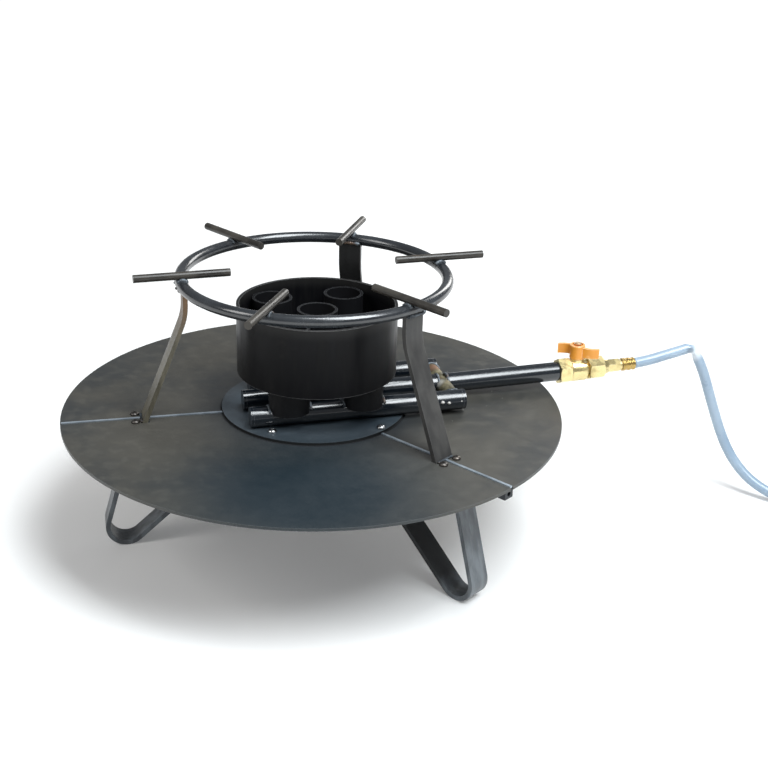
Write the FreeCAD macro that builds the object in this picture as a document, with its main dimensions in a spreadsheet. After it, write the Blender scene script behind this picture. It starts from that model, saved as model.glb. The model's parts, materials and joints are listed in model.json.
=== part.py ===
import FreeCAD, Part

import math
import os

# A five-jet gas burner on a three-legged stand, with a round heat-shield table and a pot ring.
# Millimetres. The origin is on the floor under the stand's axis, +Z is up and the gas inlet
# leaves along +X. Heights named "..._up" are counted from the table's top face.

V = FreeCAD.Vector
X, Y, Z = V(1, 0, 0), V(0, 1, 0), V(0, 0, 1)

DIMENSIONS = [
    # the table, its ribs and the stand
    ("table_height", 142, "top face of the table above the floor"),
    ("table_radius", 265, "outer radius of the three sectors"),
    ("sector_inner", 80, "inner radius of the sectors, under the disc"),
    ("sheet", 3, "thickness of the table sheet and of the disc"),
    ("disc_radius", 98, "centre disc that carries the burner"),
    ("rib_width", 3, "flat rib on edge, between two sectors"),
    ("rib_depth", 13, "rib below the table's top face"),
    ("rib_proud", 1, "rib above the table's top face"),
    ("rib_reach", 250, "outer end of a rib's deep part"),
    ("rib_tip", 264, "outer end of its top strip, beside the sheet"),
    ("hub_radius", 8, "post that joins the ribs' inner ends"),
    ("bar_width", 25, "flat bar of the legs and uprights"),
    ("bar_thickness", 5, "flat bar of the legs and uprights"),
    ("leg_bend", 22, "outer radius of a leg's bend on the floor"),
    ("leg_contact", 213, "radius at which a leg touches the floor"),
    ("leg_outer_lean", 0.29, "outward run per rise of a leg's outer limb"),
    ("leg_inner_lean", 1.14, "outward run per rise of a leg's inner limb"),
    ("upright_top", 134, "radius of an upright's upper stretch"),
    ("upright_bend_up", 113, "height of an upright's bend"),
    ("upright_bend", 60, "inner radius of an upright's bend"),
    ("upright_lean", 0.4, "outward run per rise below the bend"),
    ("upright_end_up", -12, "lower end of an upright, beside its rib"),
    ("tab_length", 20, "tab under a sector"),
    ("screw_radius", 2.5, "shank of the table and disc screws"),
    ("screw_head", 4.5, "head radius of the table and disc screws"),
    ("lug_length", 12, "socket under the rim, along the front rib"),
    ("lug_width", 12, "socket under the rim, across the front rib"),
    ("lug_depth", 10, "height of the socket under the rim"),
    ("lug_hole", 2.5, "radius of the socket's bore"),
    # the pot ring
    ("ring_radius", 137, "centre line of the pot ring"),
    ("ring_rod", 6, "radius of the ring's round bar"),
    ("ring_up", 147, "height of the ring's centre line"),
    ("pot_rod", 4, "radius of a pot rod"),
    ("pot_rod_inner", 88, "inner end of a pot rod"),
    ("pot_rod_length", 97, "length of a pot rod"),
    # the burner
    ("burner_at", 3, "axis of the shroud and the middle jet tube, along X"),
    ("shroud_radius", 84.15, "outer radius of the shroud"),
    ("shroud_wall", 3.2, "wall of the shroud"),
    ("shroud_bottom_up", 44, "lower edge of the shroud"),
    ("shroud_top_up", 117, "upper edge of the shroud"),
    ("tube_radius", 21.2, "outer radius of a jet tube"),
    ("tube_wall", 2.6, "wall of a jet tube"),
    ("tube_bottom_up", 18, "lower end of a jet tube"),
    ("tube_top_up", 110, "upper end of a jet tube"),
    ("tube_pitch", 39, "outer jet tubes along the pipes, from the middle one"),
    ("pipe_pitch", 45, "outer manifold pipes from the axis"),
    ("pipe_radius", 10.65, "outer radius of the manifold and inlet pipes"),
    ("pipe_wall", 2.6, "wall of those pipes"),
    ("pipe_start", -74, "closed end of the front and middle manifold pipes"),
    ("pipe_end", 151, "other end of the front manifold pipe"),
    ("rear_pipe_start", -60, "closed end of the rear manifold pipe"),
    ("rear_pipe_end", 147, "other end of the rear manifold pipe"),
    ("cap", 3, "thickness of a pipe's welded cap"),
    ("header_at", 143, "header pipe along X"),
    ("header_radius", 8.6, "outer radius of the header pipe"),
    ("header_wall", 2.3, "wall of the header pipe"),
    ("gas_way", 5, "radius of the gas ways between the pipes"),
    ("jet_shank", 3, "radius of a gas jet's shank"),
    # the inlet line, counted from the header's axis
    ("inlet_rise", 1.2, "rise of the inlet line in degrees"),
    ("collar_start", 137, "inlet face of the valve"),
    ("thread_depth", 10, "inlet pipe screwed into the valve"),
    ("stem_at", 160, "stem of the valve"),
    ("body_end", 173, "outlet face of the valve body"),
    ("barb_start", 197, "hose barb after the valve's end piece"),
    ("ferrule_start", 215, "crimped ferrule on the hose"),
    ("hose_start", 231, "where the hose leaves the ferrule"),
    ("collar_flats", 26, "across the flats of the inlet collar"),
    ("end_flats", 24, "across the flats of the end piece"),
    ("barb_flats", 14, "across the flats of the barb's nut"),
    ("body_radius", 13, "outer radius of the valve body"),
    ("way_radius", 5.5, "gas way through the valve and its ball"),
    ("ball_radius", 9.3, "ball of the valve"),
    ("ball_room", 9.6, "cavity around the ball"),
    ("seat_start", 6.5, "seats' inner ends, from the stem's axis"),
    ("seat_end", 12, "seats' outer ends, from the stem's axis"),
    ("boss_radius", 7.5, "boss that carries the stem"),
    ("boss_top", 13.5, "top of the boss above the inlet line"),
    ("stem_radius", 3.5, "stem in its packing"),
    ("stem_play", 0.05, "radial clearance around the stem"),
    ("stem_low", 9.4, "lower end of the stem's shaft above the inlet line"),
    ("stem_high", 28.5, "shoulder of the stem, where its thread begins"),
    ("stem_thread", 2.5, "radius of the stem's thread"),
    ("key_width", 3, "slot in the ball and tongue of the stem"),
    ("key_low", 7, "bottom of that slot above the inlet line"),
    ("gland_flats", 11.5, "across the flats of the gland nut"),
    ("gland_height", 3, "gland nut on the boss"),
    ("handle_angle", -35, "handle from the pipe's direction, part open"),
    ("grip_radius", 8.6, "outer radius of the handle's hub"),
    ("grip_low", 13.8, "lower end of the hub above the inlet line"),
    ("grip_high", 30.4, "upper end of the hub above the inlet line"),
    ("grip_room", 7.2, "radius of the hollow under the hub, over the gland nut"),
    ("wing_far", 25, "tip of the wing towards the outlet"),
    ("wing_near", 22.5, "tip of the wing towards the inlet"),
    ("wing_bow", 4, "bow of the wings out of the straight"),
    ("wing_thickness", 3, "wings of the handle"),
    ("wing_height", 11.5, "wings of the handle"),
    ("wing_up", 22.6, "middle of the wings above the inlet line"),
    # the hose
    ("hose_radius", 6, "outer radius of the gas hose"),
    ("coil_radius", 70, "centre line of the coiled hose"),
    ("coil_turns", 2, "turns in the coil, one on the other"),
    ("coil_x", 640, "centre of the coil"),
    ("coil_y", -160, "centre of the coil"),
    ("nut_flats", 19, "across the flats of the union nut"),
]

# The burner was put together by hand, so its radial pieces stand at these bearings in degrees.
ARM_BEARINGS = {"left": 178.0, "front": 302.5, "rear": 60.0}
LEG_SHIFTS = {"left": -9.0, "front": 0.0, "rear": -4.0}  # along the rib, from leg_contact
POT_ROD_BEARINGS = (2.5, 60.0, 118.0, 182.5, 238.5, 299.0)

# The free hose from its ferrule over a tight fold down to the floor and on to the coil. The
# first point is the ferrule's mouth, and the last one is where the coil's first turn begins.
HOSE_ROUTE = [
    (391, -0.3, 162.2),
    (412, -0.8, 167),
    (436.5, -2, 174.5),
    (452, -5, 168.5),
    (461.5, -8, 145),
    (470, -11, 120),
    (480, -15, 91.5),
    (489.5, -20, 66),
    (499.5, -26.5, 44),
    (512, -34, 26.5),
    (527, -43, 14.8),
    (543, -54.5, 8.6),
    (556.5, -70.5, 6.4),
    (565.5, -90, 6),
    (570, -113, 6.2),
    (570.5, -137, 6),
]
# The other end of the hose leaves the coil's upper turn and lies down beside it.
TAIL_ROUTE = [
    (571.5, -184, 17),
    (574, -208, 12.5),
    (578, -231, 9.5),
]
UNION_AT = (583, -253, 9.5)

doc = FreeCAD.newDocument("JetBurner")
sheet = doc.addObject("Spreadsheet::Sheet", "Dims")
for row, (alias, value, meaning) in enumerate(DIMENSIONS, start=1):
    sheet.set(f"A{row}", meaning)
    sheet.set(f"B{row}", str(value))
    sheet.setAlias(f"B{row}", alias)
doc.recompute()

sub_parts = []


def cell(alias):
    """A dimension of the sheet, in millimetres or degrees."""
    return float(sheet.get(alias))


def level(alias):
    """A height counted from the table's top face, as a height above the floor."""
    return cell("table_height") + cell(alias)


def polar(radius, bearing, height=0.0):
    angle = math.radians(bearing)
    return V(radius * math.cos(angle), radius * math.sin(angle), height)


def frame(at=V(0, 0, 0), turn=0.0, about=Z):
    return FreeCAD.Placement(V(at), FreeCAD.Rotation(about, turn))


def aimed(at, direction):
    """A placement that turns local +Z along the direction."""
    return FreeCAD.Placement(V(at), FreeCAD.Rotation(Z, V(direction)))


def bind(thing, **cells):
    for name, expression in cells.items():
        thing.setExpression(name, expression)
    return thing


def sub_part(thing, label, placement=None):
    """Gives a finished sub-part the label that names its file."""
    if placement is not None:
        thing.Placement = placement
    thing.Label = label
    sub_parts.append(thing)
    return thing


def cylinder(radius, height, placement=frame()):
    rod = doc.addObject("Part::Cylinder", "Cylinder")
    rod.Placement = placement
    return bind(rod, Radius=radius, Height=height)


def box(length, width, height, placement=frame()):
    block = doc.addObject("Part::Box", "Box")
    block.Placement = placement
    return bind(block, Length=length, Width=width, Height=height)


def hexagon(flats, height, placement=frame()):
    prism = doc.addObject("Part::Prism", "Prism")
    prism.Polygon = 6
    prism.Placement = placement
    return bind(prism, Circumradius=f"{flats} / 2 / cos(30 deg)", Height=height)


def fuse(pieces):
    joined = doc.addObject("Part::MultiFuse", "Fuse")
    joined.Shapes = pieces
    return joined


def common(piece, other):
    kept = doc.addObject("Part::MultiCommon", "Common")
    kept.Shapes = [piece, other]
    return kept


def cut(base, tools):
    rest = doc.addObject("Part::Cut", "Cut")
    rest.Base = base
    rest.Tool = tools[0] if len(tools) == 1 else fuse(tools)
    return rest


def origin_feature(body, role):
    return next(f for f in body.Origin.OriginFeatures if f.Role == role)


def outlined(body, points, plane="XZ_Plane"):
    """A closed sketch through the points. A point (x, y, mid_x, mid_y) ends an arc over the
    middle point, and any other point ends a straight line."""
    sketch = body.newObject("Sketcher::SketchObject", "Outline")
    sketch.AttachmentSupport = [(origin_feature(body, plane), "")]
    sketch.MapMode = "FlatFace"
    edges = []
    for start, end in zip(points[-1:] + points[:-1], points):
        first, last = V(start[0], start[1], 0), V(end[0], end[1], 0)
        if len(end) == 4:
            edges.append(Part.Arc(first, V(end[2], end[3], 0), last))
        else:
            edges.append(Part.LineSegment(first, last))
    sketch.addGeometry(edges, False)
    return sketch


def padded(points, length, plane="XZ_Plane"):
    """A body whose outline is padded to both sides of its plane."""
    body = doc.addObject("PartDesign::Body", "Body")
    pad = body.newObject("PartDesign::Pad", "Pad")
    pad.Profile = outlined(body, points, plane)
    pad.SideType = "Symmetric"
    bind(pad, Length=length)
    body.Tip = pad
    return body


def turned(points, axis="H_Axis"):
    """A body turned from an outline in the XZ plane, about local X or, with V_Axis, Z."""
    body = doc.addObject("PartDesign::Body", "Body")
    sketch = outlined(body, points)
    turn = body.newObject("PartDesign::Revolution", "Turn")
    turn.Profile = sketch
    turn.ReferenceAxis = (sketch, [axis])
    turn.Angle = 360
    body.Tip = turn
    return body


def rounded(body, corners, radius):
    """Fillets the body's edges along local Y that pass through the given (x, z) corners."""
    doc.recompute()
    base, names = body.Tip, []
    for number, edge in enumerate(base.Shape.Edges, start=1):
        middle = edge.BoundBox.Center
        is_corner = any(math.hypot(middle.x - x, middle.z - z) < 0.01 for x, z in corners)
        if is_corner and edge.BoundBox.YLength > 1:
            names.append(f"Edge{number}")
    fillet = body.newObject("PartDesign::Fillet", "Bend")
    fillet.Base = (base, names)
    bind(fillet, Radius=radius)
    body.Tip = fillet
    return body


def crossing(first, lean_a, second, lean_b):
    """Where two leaning lines meet, each given by an (x, z) point and its run per rise."""
    (xa, za), (xb, zb) = first, second
    height = (xb - xa + lean_a * za - lean_b * zb) / (lean_a - lean_b)
    return xa + lean_a * (height - za), height


# ---------------------------------------------------------------- the table and its ribs

TABLE = cell("table_height")
SHEET = cell("sheet")
SCREW_FROM_RIB = 10.0  # sideways from a rib to the screw that holds a sector
SCREW_AT = 189.0  # along the rib
DISC_SCREWS = [(-57.0, -61.0), (54.0, -75.3), (56.0, 62.5), (-56.0, 62.5)]
NOTCH = 9.0  # room for an upright's foot along the rib
TAB_GAP = 6.0  # from an upright's centre line to the tabs behind it
TAB_WIDTH = 24.0


def in_line(bearing, along, aside=0.0, height=0.0):
    """A point beside a rib: along it, aside from it to the left, and above the floor."""
    return polar(along, bearing, height) + polar(aside, bearing + 90.0)


def screw_places():
    """Top of the sheet under each sector screw, one on each side of every rib."""
    sides = (-SCREW_FROM_RIB, SCREW_FROM_RIB)
    return [in_line(b, SCREW_AT, side, TABLE) for b in ARM_BEARINGS.values() for side in sides]


def disc_screw_places():
    return [V(along, across, TABLE + SHEET) for along, across in DISC_SCREWS]


def upright_foot():
    """Radius of an upright's centre line at the table's top face."""
    fall = cell("upright_bend_up")
    return cell("upright_top") + cell("upright_lean") * fall


def table_openings():
    """Everything that is cut out of the sectors: seams, notches for uprights and screw holes."""
    tools = [cylinder("Dims.sector_inner", "3 * Dims.sheet", frame(V(0, 0, TABLE - 2 * SHEET)))]
    half_rib, half_bar = cell("rib_width") / 2, cell("bar_width") / 2
    for bearing in ARM_BEARINGS.values():
        seam = in_line(bearing, 0, -half_rib - 0.2, TABLE - 2 * SHEET)
        tools.append(box("Dims.table_radius + 10", "Dims.rib_width + 0.4", "3 * Dims.sheet",
                         frame(seam, bearing)))
        corner = in_line(bearing, upright_foot() - NOTCH / 2, -half_bar - 0.5, TABLE - 2 * SHEET)
        tools.append(box(str(NOTCH), "Dims.bar_width + 1", "3 * Dims.sheet", frame(corner, bearing)))
    for place in screw_places() + disc_screw_places():
        hole = V(place.x, place.y, TABLE - 2 * SHEET)
        tools.append(cylinder("Dims.screw_radius", "3 * Dims.sheet", frame(hole)))
    return fuse(tools)


def make_sectors():
    openings = table_openings()
    bearings = ARM_BEARINGS
    spans = {
        "rear": (bearings["rear"], bearings["left"]),
        "front": (bearings["left"], bearings["front"]),
        "right": (bearings["front"], bearings["rear"] + 360.0),
    }
    for name, (start, end) in spans.items():
        wedge = cylinder("Dims.table_radius", "Dims.sheet", frame(V(0, 0, TABLE - SHEET), start))
        wedge.Angle = end - start
        sub_part(cut(wedge, [openings]), f"table_sector_{name}")


def make_disc():
    plate = cylinder("Dims.disc_radius", "Dims.sheet", frame(V(0, 0, TABLE)))
    holes = [cylinder("Dims.screw_radius", "3 * Dims.sheet", frame(place - 2 * SHEET * Z))
             for place in disc_screw_places()]
    sub_part(cut(plate, holes), "centre_disc")


def make_ribs():
    foot, reach, tip = cell("hub_radius"), cell("rib_reach"), cell("rib_tip")
    low, high, strip = TABLE - cell("rib_depth"), TABLE + cell("rib_proud"), TABLE - SHEET
    step = cell("disc_radius") + 0.5
    profile = [(foot, low), (reach, low), (reach, strip), (tip, strip), (tip, high), (step, high),
               (step, TABLE), (foot, TABLE)]
    for name, bearing in ARM_BEARINGS.items():
        sub_part(padded(profile, "Dims.rib_width"), f"table_rib_{name}", frame(turn=bearing))
    post = cylinder("Dims.hub_radius", "Dims.rib_depth", frame(V(0, 0, low)))
    sub_part(post, "hub_post")


def make_tabs():
    """Tabs welded to both faces of each rib, into which the sectors are screwed."""
    tabs = []
    half_rib, start = cell("rib_width") / 2, upright_foot() + TAB_GAP
    for bearing in ARM_BEARINGS.values():
        for side in (-1, 1):
            near = half_rib if side > 0 else -half_rib - TAB_WIDTH
            corner = in_line(bearing, start, near, TABLE - 2 * SHEET)
            tab = box("Dims.tab_length", str(TAB_WIDTH), "Dims.sheet", frame(corner, bearing))
            hole_at = in_line(bearing, SCREW_AT, side * SCREW_FROM_RIB, TABLE - 3 * SHEET)
            tabs.append(cut(tab, [cylinder("Dims.screw_radius", "3 * Dims.sheet", frame(hole_at))]))
    sub_part(fuse(tabs), "sector_tabs")


def screw(place, grip):
    """A round-headed screw whose shank goes down through the grip."""
    head, shank = cell("screw_head"), cell("screw_radius")
    profile = [(0, -grip), (shank, -grip), (shank, 0), (head, 0), (head, 0.8),
               (0.3 * head, 3.1, 0.8 * head, 2.2), (0, 3.1)]
    body = turned(profile, "V_Axis")
    body.Placement = frame(place)
    return body


def make_screws():
    sub_part(fuse([screw(place, 8) for place in screw_places()]), "sector_screws")
    sub_part(fuse([screw(place, 9) for place in disc_screw_places()]), "disc_screws")


def make_lug():
    """A drilled square socket at the outer end of the front rib, just proud of the rim."""
    bearing, start = ARM_BEARINGS["front"], cell("rib_reach")
    width, depth = cell("lug_width"), cell("lug_depth")
    corner = in_line(bearing, start, -width / 2, TABLE - SHEET - depth)
    block = box("Dims.lug_length", "Dims.lug_width", "Dims.lug_depth", frame(corner, bearing))
    mouth = in_line(bearing, start - 1, 0, TABLE - SHEET - depth / 2)
    hole = cylinder("Dims.lug_hole", "2 * Dims.lug_length", aimed(mouth, polar(1, bearing)))
    sub_part(cut(block, [hole]), "rim_lug")


# ---------------------------------------------------------------- legs and uprights

def make_legs():
    """V-shaped legs of flat bar: an outer limb, a round bend on the floor, an inner limb."""
    bend, thickness = cell("leg_bend"), cell("bar_thickness")
    outer_lean, inner_lean = cell("leg_outer_lean"), cell("leg_inner_lean")
    centre = (cell("leg_contact"), bend)
    top = TABLE - cell("rib_depth")

    def face(side, lean, offset):
        """A point of a limb's face, which runs the offset beside the bend's centre."""
        slant = math.hypot(1, lean)
        return centre[0] + side * offset / slant, centre[1] - side * lean * offset / slant

    def at_height(point, lean, height):
        """Limbs lean outward as they go down from the inner top, so the run is signed."""
        return point[0] + lean * (height - point[1]), height

    out_face, out_back = face(1, -outer_lean, bend), face(1, -outer_lean, bend - thickness)
    in_face, in_back = face(-1, -inner_lean, bend), face(-1, -inner_lean, bend - thickness)
    low_corner = crossing(out_face, -outer_lean, in_face, -inner_lean)
    high_corner = crossing(out_back, -outer_lean, in_back, -inner_lean)
    outline = [
        at_height(in_face, -inner_lean, top), low_corner, at_height(out_face, -outer_lean, top),
        at_height(out_back, -outer_lean, top), high_corner, at_height(in_back, -inner_lean, top),
    ]
    for name, bearing in ARM_BEARINGS.items():
        leg = padded(outline, "Dims.bar_width")
        rounded(leg, [low_corner], "Dims.leg_bend")
        rounded(leg, [high_corner], "Dims.leg_bend - Dims.bar_thickness")
        sub_part(leg, f"leg_{name}", frame(polar(LEG_SHIFTS[name], bearing), bearing))


def make_uprights():
    """Flat bars from beside the ribs up to the pot ring, with one gentle bend."""
    half = cell("bar_thickness") / 2
    top_radius, lean = cell("upright_top"), cell("upright_lean")
    bend, end = level("upright_bend_up"), level("upright_end_up")
    ring = level("ring_up")
    slant = half * math.hypot(1, lean)

    def face(side):
        """Bend corner and lower end of one face."""
        corner_height = bend + (side * half - side * slant) / lean
        return (top_radius + side * half, corner_height), \
            (top_radius + side * slant + lean * (bend - end), end)

    (inner_bend, inner_end), (outer_bend, outer_end) = face(-1), face(1)
    outline = [(top_radius - half, ring), inner_bend, inner_end, outer_end, outer_bend,
               (top_radius + half, ring)]
    for name, bearing in ARM_BEARINGS.items():
        bar = padded(outline, "Dims.bar_width")
        rounded(bar, [outer_bend], "Dims.upright_bend")
        rounded(bar, [inner_bend], "Dims.upright_bend + Dims.bar_thickness")
        bar.Placement = frame(turn=bearing)
        ring_room = doc.addObject("Part::Torus", "Torus")
        ring_room.Placement = frame(V(0, 0, ring))
        bind(ring_room, Radius1="Dims.ring_radius", Radius2="Dims.ring_rod")
        above = box("60", "60", "20", frame(in_line(bearing, 110, -30, ring - 3), bearing))
        slot_at = in_line(bearing, 140, -cell("rib_width") / 2, TABLE - 30)
        slot = box("80", "Dims.rib_width", "30 + Dims.rib_proud", frame(slot_at, bearing))
        sub_part(cut(bar, [ring_room, above, slot]), f"upright_{name}")


# ---------------------------------------------------------------- the pot ring

def make_pot_ring():
    ring = doc.addObject("Part::Torus", "Torus")
    bind(ring, Radius1="Dims.ring_radius", Radius2="Dims.ring_rod")
    sub_part(ring, "pot_ring", frame(V(0, 0, level("ring_up"))))
    height = level("ring_up") + cell("ring_rod") + cell("pot_rod")
    for number, bearing in enumerate(POT_ROD_BEARINGS, start=1):
        start = polar(cell("pot_rod_inner"), bearing, height)
        rod = cylinder("Dims.pot_rod", "Dims.pot_rod_length", aimed(start, polar(1, bearing)))
        sub_part(rod, f"pot_rod_{number}")


# ---------------------------------------------------------------- the burner

PIPE_UP = TABLE + SHEET + cell("pipe_radius")  # axis of the pipes, which lie on the disc
TUBES = {
    "centre": (0, 0),
    "front_left": (-1, -1),
    "front_right": (1, -1),
    "rear_left": (-1, 1),
    "rear_right": (1, 1),
}


def pipe_axis(side):
    return side * cell("pipe_pitch")


def tube_place(name, height):
    along, side = TUBES[name]
    return V(cell("burner_at") + along * cell("tube_pitch"), pipe_axis(side), height)


def pipe_along_x(radius, side, start, length):
    """A solid bar on a manifold pipe's axis, from start on, as a pipe or a tool."""
    return cylinder(radius, length, aimed(V(start, pipe_axis(side), PIPE_UP), X))


def make_shroud():
    low = V(cell("burner_at"), 0, level("shroud_bottom_up"))
    height = "Dims.shroud_top_up - Dims.shroud_bottom_up"
    skin = cylinder("Dims.shroud_radius", height, frame(low))
    room = cylinder("Dims.shroud_radius - Dims.shroud_wall", f"{height} + 20", frame(low - 10 * Z))
    sub_part(cut(skin, [room]), "burner_shroud")


def make_tubes():
    """Jet tubes saddled over the manifold pipes, open below so that they draw in air."""
    for name, (along, side) in TUBES.items():
        low = tube_place(name, level("tube_bottom_up"))
        height = "Dims.tube_top_up - Dims.tube_bottom_up"
        skin = cylinder("Dims.tube_radius", height, frame(low))
        room = cylinder("Dims.tube_radius - Dims.tube_wall", f"{height} + 20", frame(low - 10 * Z))
        saddle = pipe_along_x("Dims.pipe_radius", side, -100, "200")
        sub_part(cut(skin, [room, saddle]), f"jet_tube_{name}")


def make_jets():
    """Turned gas jets screwed into the tops of the pipes, on the tubes' axes."""
    shank, orifice = cell("jet_shank"), 0.5
    wall, top = cell("pipe_wall"), cell("pipe_radius")
    profile = [(orifice, top - wall), (shank, top - wall), (shank, top + 0.6), (5, top + 0.6),
               (5, top + 5), (3.4, top + 6), (2.2, top + 10), (orifice, top + 10)]
    for name in TUBES:
        sub_part(turned(profile, "V_Axis"), f"gas_jet_{name}", frame(tube_place(name, PIPE_UP)))


def header_bar(radius):
    """A bar along Y on the header's axis, from one outer pipe's axis to the other's."""
    start = V(cell("header_at"), -cell("pipe_pitch"), PIPE_UP)
    return cylinder(radius, "2 * Dims.pipe_pitch", aimed(start, Y))


def make_manifold():
    """Three parallel pipes: the outer two run past the header and the middle one meets it."""
    start, end = cell("pipe_start"), cell("pipe_end")
    spans = {
        -1: ("front", start, end),
        0: ("middle", start, cell("header_at") - 4),
        1: ("rear", cell("rear_pipe_start"), cell("rear_pipe_end")),
    }
    caps = []
    for side, (name, start, end) in spans.items():
        length = end - start
        skin = pipe_along_x("Dims.pipe_radius", side, start, str(length))
        room = pipe_along_x("Dims.pipe_radius - Dims.pipe_wall", side, start - 5, str(length + 10))
        tools = [room, header_bar("Dims.gas_way" if side else "Dims.header_radius")]
        for tube, (along, row) in TUBES.items():
            if row == side:
                tools.append(cylinder("Dims.jet_shank", "20", frame(tube_place(tube, PIPE_UP))))
        sub_part(cut(skin, tools), f"manifold_pipe_{name}")
        caps.append(pipe_along_x("Dims.pipe_radius", side, start - cell("cap"), "Dims.cap"))
        if side:
            caps.append(pipe_along_x("Dims.pipe_radius", side, end, "Dims.cap"))
    sub_part(fuse(caps), "manifold_caps")


def make_header():
    tools = [header_bar("Dims.header_radius - Dims.header_wall")]
    for side in (-1, 1):
        tools.append(pipe_along_x("Dims.pipe_radius", side, 100, "100"))
    middle = pipe_along_x("Dims.gas_way", 0, 100, "100")
    sub_part(cut(header_bar("Dims.header_radius"), tools + [middle]), "header_pipe")


# ---------------------------------------------------------------- the inlet line and its valve

LINE = FreeCAD.Placement(V(cell("header_at"), 0, PIPE_UP), FreeCAD.Rotation(Y, -cell("inlet_rise")))


def bar_on_line(radius, start, length):
    """A solid bar on the inlet line, in the line's own frame."""
    return cylinder(radius, length, aimed(V(start, 0, 0), X))


def hex_on_line(flats, start, end):
    """A hexagon with turned corners on the inlet line."""
    prism = hexagon(f"Dims.{flats}", str(end - start), aimed(V(start, 0, 0), X))
    across = cell(flats)
    corner = 0.5 * across / math.cos(math.radians(30)) + 0.2
    low = 0.5 * across + 0.2
    blank = turned([(start, 0), (start, low), (start + 1.2, corner), (end - 1.2, corner), (end, low),
                    (end, 0)])
    return common(prism, blank)


def make_inlet_pipe():
    start, end = 4.0, cell("collar_start") + cell("thread_depth")
    wall, outer = cell("pipe_wall"), cell("pipe_radius")
    inner = outer - wall
    pipe = turned([(start, inner), (start, outer), (end, outer), (end, inner)])
    header_room = cylinder("Dims.header_radius", "100", aimed(V(0, -50, 0), Y))
    sub_part(cut(pipe, [header_room]), "inlet_pipe", LINE)


def make_valve_body():
    start, end, stem = cell("collar_start"), cell("body_end"), cell("stem_at")
    socket_end = start + cell("thread_depth")
    shell = cell("body_radius")
    barrel = turned([(start + 8, 0), (start + 8, 10), (stem - 11, 10.5), (end - 1, 10.5, stem, shell + 2.2),
                     (end, 10), (end, 0)])
    flank = turned([(stem - 12, 0), (stem - 12, shell), (end, shell), (end, 0)])
    boss = cylinder("Dims.boss_radius", "Dims.boss_top", frame(V(stem, 0, 0)))
    solid = fuse([hex_on_line("collar_flats", start, start + 14), common(barrel, flank), boss])
    way = [
        bar_on_line("Dims.pipe_radius", start - 1, "Dims.thread_depth + 1"),
        bar_on_line("Dims.way_radius", socket_end - 1, "40"),
        bar_on_line("Dims.ball_room", stem - 12.2, "40"),
        cylinder("Dims.stem_radius + Dims.stem_play", "30", frame(V(stem, 0, 0))),
    ]
    sub_part(cut(solid, way), "valve_body", LINE)


def make_valve_end():
    """The piece screwed into the body's outlet, with a flat hexagon and a short cone."""
    start, end = cell("body_end"), cell("barb_start")
    stem, room = cell("stem_at"), cell("ball_room")
    cone = turned([(end - 7, 0), (end - 7, 11), (end - 1, 8.6), (end, 8.2), (end, 0)])
    seat = stem + cell("seat_end")
    spigot = turned([(seat, 0), (seat, room), (start + 0.1, room), (start + 0.1, 0)])
    solid = fuse([spigot, hex_on_line("end_flats", start, end - 6), cone])
    sub_part(cut(solid, [bar_on_line("Dims.way_radius", stem, "60")]), "valve_end", LINE)


def make_seats():
    """Two sealing rings that hold the ball, with a small gap to its round face."""
    stem, room, way = cell("stem_at"), cell("ball_room"), cell("way_radius")
    seats = []
    for side in (-1, 1):
        inner, outer = sorted((stem + side * cell("seat_start"), stem + side * cell("seat_end")))
        ring = turned([(inner, way), (inner, room), (outer, room), (outer, way)])
        ball_room = doc.addObject("Part::Sphere", "Sphere")
        ball_room.Placement = frame(V(stem, 0, 0))
        bind(ball_room, Radius="Dims.ball_room")
        seats.append(cut(ring, [ball_room]))
    sub_part(fuse(seats), "valve_seats", LINE)


def make_ball():
    stem, angle = cell("stem_at"), cell("handle_angle")
    ball = doc.addObject("Part::Sphere", "Sphere")
    ball.Placement = frame(V(stem, 0, 0))
    bind(ball, Radius="Dims.ball_radius")
    port = cylinder("Dims.way_radius", "40", aimed(V(stem, 0, 0) - polar(20, angle), polar(1, angle)))
    half_key = cell("key_width") / 2
    slot_at = V(stem, 0, cell("key_low")) + polar(-10, angle) + polar(-half_key, angle + 90)
    slot = box("20", "Dims.key_width", "10", frame(slot_at, angle))
    sub_part(cut(ball, [port, slot]), "valve_ball", LINE)


def make_stem():
    stem, angle = cell("stem_at"), cell("handle_angle")
    shaft = cylinder("Dims.stem_radius", "Dims.stem_high - Dims.stem_low",
                     frame(V(stem, 0, cell("stem_low"))))
    half_key = cell("key_width") / 2
    tongue_at = V(stem, 0, cell("key_low")) + polar(-3, angle) + polar(-half_key, angle + 90)
    tongue = box("6", "Dims.key_width", "3", frame(tongue_at, angle))
    thread = cylinder("Dims.stem_thread", "6", frame(V(stem, 0, 27)))
    sub_part(fuse([shaft, tongue, thread]), "valve_stem", LINE)


def make_gland():
    stem, top = cell("stem_at"), cell("boss_top")
    nut = hexagon("Dims.gland_flats", "Dims.gland_height", frame(V(stem, 0, top)))
    hole = cylinder("Dims.stem_radius + Dims.stem_play", "10", frame(V(stem, 0, top - 1)))
    sub_part(cut(nut, [hole]), "gland_nut", LINE)


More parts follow.
